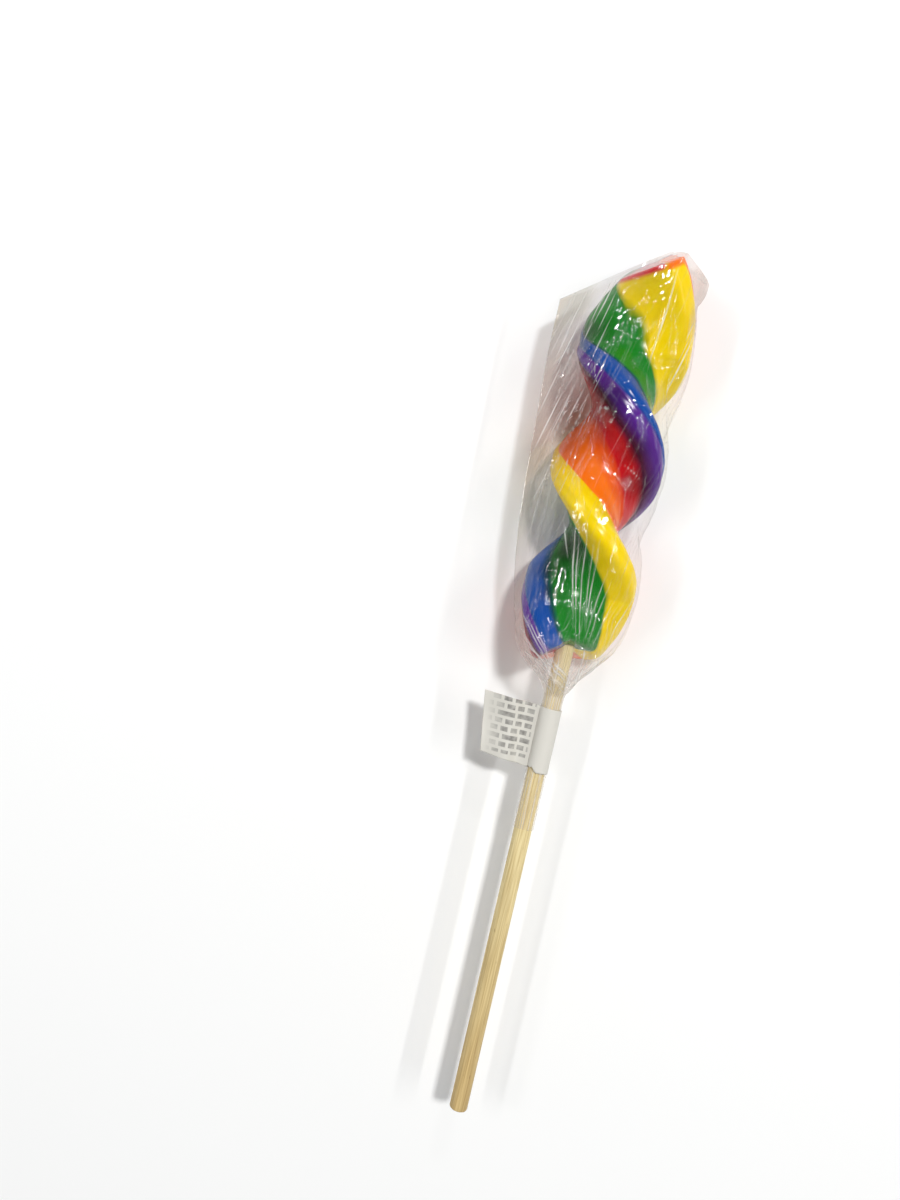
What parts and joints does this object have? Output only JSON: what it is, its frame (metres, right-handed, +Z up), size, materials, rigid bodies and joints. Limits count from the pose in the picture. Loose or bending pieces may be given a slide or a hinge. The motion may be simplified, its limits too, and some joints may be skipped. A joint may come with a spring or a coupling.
{
  "type": "corkscrew lollipop",
  "caption": "Corkscrew lollipop: a twisted bar of rainbow candy strands on a wooden stick, in a clear gathered bag with a folded paper label.",
  "frame": {"origin": "middle of the underside of the lying pop's bounding box", "axes": "+Y along the stick towards the candy, +Z up out of the shown side, +X to the right of the shown side"},
  "size_m": [0.0374, 0.2374, 0.0309],
  "materials": {
    "candy_red": "smooth pulled candy",
    "candy_orange": "smooth pulled candy",
    "candy_yellow": "smooth pulled candy",
    "candy_green": "smooth pulled candy",
    "candy_blue": "smooth pulled candy",
    "candy_purple": "smooth pulled candy",
    "stick": "plain birch dowel",
    "film": "clear crackly film",
    "label": "matt white label paper"
  },
  "bodies": {
    "root": {"candy_red": "candy_red", "candy_orange": "candy_orange", "candy_yellow": "candy_yellow", "candy_green": "candy_green", "candy_blue": "candy_blue", "candy_purple": "candy_purple", "stick": "stick", "bag": "film", "label": "label"}
  },
  "joints": []
}
